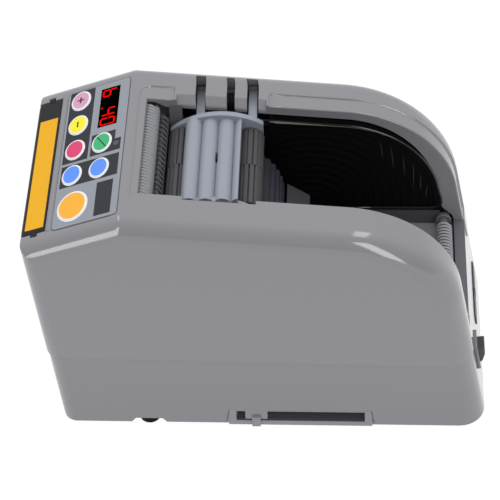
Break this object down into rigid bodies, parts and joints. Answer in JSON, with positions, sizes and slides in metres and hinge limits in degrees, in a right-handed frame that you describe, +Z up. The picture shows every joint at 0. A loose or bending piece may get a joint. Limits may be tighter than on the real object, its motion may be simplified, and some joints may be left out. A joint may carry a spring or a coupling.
{
  "type": "electric tape dispenser",
  "caption": "Desktop electric tape dispenser with a sloping key panel, an open tape well, a fluted feed drum under a swing-up press unit, coil guide rods and a powered cutter.",
  "frame": {"origin": "centre of the overall box, on the table plane under the feet", "axes": "+X to the rear, +Y to the far side from a viewer who has the panel on the left, +Z up"},
  "size_m": [0.2317, 0.1163, 0.151],
  "materials": {
    "housing_grey": "moulded, satin gloss",
    "base_grey": "moulded, satin gloss",
    "foot_rubber": "matt",
    "screw_steel": "zinc plated",
    "inner_grey": "satin paint",
    "liner_black": "moulded, glossy",
    "roller_rubber": "matt, fluted",
    "press_rubber": "matt, fluted",
    "bright_steel": "ground",
    "gear_white": "moulded",
    "motor_steel": "plated",
    "blade_steel": "ground",
    "carrier_blue_grey": "moulded, satin",
    "cover_black": "moulded, with a bare yellow field",
    "overlay_film": "printed film",
    "window_black": "polished",
    "board_green": "resist",
    "switch_black": "moulded",
    "lamp_grey": "clear cap, unlit",
    "rocker_black": "moulded",
    "guide_steel": "plated",
    "coil_steel": "plated wire",
    "key_pink": "printed",
    "key_yellow": "printed",
    "key_red": "printed",
    "key_blue": "printed",
    "key_green": "printed",
    "key_orange": "printed"
  },
  "bodies": {
    "housing": {"upper_housing": "housing_grey", "base_housing": "base_grey", "rubber_feet": "foot_rubber", "housing_screws": "screw_steel", "side_plate_near": "inner_grey", "side_plate_far": "inner_grey", "well_floor": "inner_grey", "well_liner_near": "liner_black", "well_liner_far": "liner_black", "idler_pin": "bright_steel", "feed_motor": "motor_steel", "carrier_hinge_pin": "bright_steel", "fixed_blade": "blade_steel", "cutter_motor": "motor_steel", "panel_overlay": "overlay_film", "display_window": "window_black", "display_module": "switch_black", "control_board": "board_green", "key_switches": "switch_black", "status_lamp": "lamp_grey", "slider_insert": "base_grey", "power_switch_body": "switch_black", "power_inlet": "switch_black", "power_board": "board_green"},
    "drum": {"feed_drum": "roller_rubber", "drum_shaft": "bright_steel", "drum_gear": "gear_white"},
    "idler": {"idler_gear": "gear_white"},
    "feed_pinion": {"feed_pinion": "gear_white"},
    "press_unit": {"press_carrier": "carrier_blue_grey"},
    "front_press_roller": {"press_roller_front": "press_rubber", "roller_axle_front": "bright_steel"},
    "rear_press_roller": {"press_roller_rear": "press_rubber", "roller_axle_rear": "bright_steel"},
    "upper_guide": {"guide_rod_upper": "guide_steel", "guide_coil_upper": "coil_steel"},
    "middle_guide": {"guide_rod_middle": "guide_steel", "guide_coil_middle": "coil_steel"},
    "lower_guide": {"guide_rod_lower": "guide_steel", "guide_coil_lower": "coil_steel"},
    "rear_guide": {"guide_rod_rear": "guide_steel", "guide_coil_rear": "coil_steel"},
    "cutter": {"cutter_rotor": "motor_steel", "rotor_blade": "blade_steel", "cutter_gear": "gear_white"},
    "cutter_pinion": {"cutter_pinion": "gear_white"},
    "front_cover": {"front_cover": "cover_black"},
    "slide_knob": {"slide_knob": "base_grey"},
    "power_rocker": {"power_rocker": "rocker_black"},
    "button_plus": {"button_plus": "key_pink"},
    "button_minus": {"button_minus": "key_yellow"},
    "button_red": {"button_red": "key_red"},
    "button_blue_left": {"button_blue_left": "key_blue"},
    "button_green": {"button_green": "key_green"},
    "button_blue_right": {"button_blue_right": "key_blue"},
    "button_start": {"button_start": "key_orange"}
  },
  "joints": [
    {"name": "drum_spin", "type": "hinge", "parent": "housing", "child": "drum", "pos_m": [-0.024, 0, 0.0915], "axis": [0, 1, 0], "continuous": true},
    {"name": "idler_spin", "type": "hinge", "parent": "housing", "child": "idler", "pos_m": [-0.024, 0, 0.054], "axis": [0, 1, 0], "continuous": true},
    {"name": "feed_pinion_spin", "type": "hinge", "parent": "housing", "child": "feed_pinion", "pos_m": [-0.024, 0, 0.033], "axis": [0, 1, 0], "continuous": true},
    {"name": "press_unit_hinge", "type": "hinge", "parent": "housing", "child": "press_unit", "pos_m": [0, 0.048, 0.1402], "axis": [-1, 0, 0], "range_deg": [0, 95]},
    {"name": "front_press_spin", "type": "hinge", "parent": "press_unit", "child": "front_press_roller", "pos_m": [-0.0414, 0, 0.12896], "axis": [0, 1, 0], "continuous": true},
    {"name": "rear_press_spin", "type": "hinge", "parent": "press_unit", "child": "rear_press_roller", "pos_m": [-0.0066, 0, 0.12896], "axis": [0, 1, 0], "continuous": true},
    {"name": "upper_guide_spin", "type": "hinge", "parent": "housing", "child": "upper_guide", "pos_m": [-0.0575, 0, 0.1421], "axis": [0, 1, 0], "continuous": true},
    {"name": "middle_guide_spin", "type": "hinge", "parent": "housing", "child": "middle_guide", "pos_m": [-0.052, 0, 0.1348], "axis": [0, 1, 0], "continuous": true},
    {"name": "lower_guide_spin", "type": "hinge", "parent": "housing", "child": "lower_guide", "pos_m": [-0.054, 0, 0.121], "axis": [0, 1, 0], "continuous": true},
    {"name": "rear_guide_spin", "type": "hinge", "parent": "housing", "child": "rear_guide", "pos_m": [0.09344, 0, 0.066], "axis": [0, 1, 0], "continuous": true},
    {"name": "cutter_spin", "type": "hinge", "parent": "housing", "child": "cutter", "pos_m": [-0.095, 0, 0.108], "axis": [0, 1, 0], "continuous": true},
    {"name": "cutter_pinion_spin", "type": "hinge", "parent": "housing", "child": "cutter_pinion", "pos_m": [-0.08015, 0, 0.09315], "axis": [0, 1, 0], "continuous": true},
    {"name": "front_cover_lift", "type": "slide", "parent": "housing", "child": "front_cover", "axis": [-0.3665, 0, 0.9304], "range_m": [0, 0.015]},
    {"name": "slide_knob_travel", "type": "slide", "parent": "housing", "child": "slide_knob", "axis": [1, 0, 0], "range_m": [0, 0.05]},
    {"name": "power_rocker_tilt", "type": "hinge", "parent": "housing", "child": "power_rocker", "pos_m": [0.10996, -0.031, 0.033], "axis": [0, -1, 0], "range_deg": [0, 11]},
    {"name": "button_plus_press", "type": "slide", "parent": "housing", "child": "button_plus", "axis": [0.3665, 0, -0.9304], "range_m": [0, 0.0005], "stiffness_N_per_m": 400, "springref_m": -0.001},
    {"name": "button_minus_press", "type": "slide", "parent": "housing", "child": "button_minus", "axis": [0.3665, 0, -0.9304], "range_m": [0, 0.0005], "stiffness_N_per_m": 400, "springref_m": -0.001},
    {"name": "button_red_press", "type": "slide", "parent": "housing", "child": "button_red", "axis": [0.3665, 0, -0.9304], "range_m": [0, 0.0005], "stiffness_N_per_m": 400, "springref_m": -0.001},
    {"name": "button_blue_left_press", "type": "slide", "parent": "housing", "child": "button_blue_left", "axis": [0.3665, 0, -0.9304], "range_m": [0, 0.0005], "stiffness_N_per_m": 400, "springref_m": -0.001},
    {"name": "button_green_press", "type": "slide", "parent": "housing", "child": "button_green", "axis": [0.3665, 0, -0.9304], "range_m": [0, 0.0005], "stiffness_N_per_m": 400, "springref_m": -0.001},
    {"name": "button_blue_right_press", "type": "slide", "parent": "housing", "child": "button_blue_right", "axis": [0.3665, 0, -0.9304], "range_m": [0, 0.0005], "stiffness_N_per_m": 400, "springref_m": -0.001},
    {"name": "button_start_press", "type": "slide", "parent": "housing", "child": "button_start", "axis": [0.3665, 0, -0.9304], "range_m": [0, 0.0005], "stiffness_N_per_m": 400, "springref_m": -0.001}
  ],
  "couplings": [
    {"joint": "idler_spin", "follows": "drum_spin", "ratio": -1.7778},
    {"joint": "feed_pinion_spin", "follows": "drum_spin", "ratio": 3.2},
    {"joint": "front_press_spin", "follows": "drum_spin", "ratio": -5.0746},
    {"joint": "rear_press_spin", "follows": "drum_spin", "ratio": -5.0746},
    {"joint": "cutter_pinion_spin", "follows": "cutter_spin", "ratio": -2.5}
  ]
}
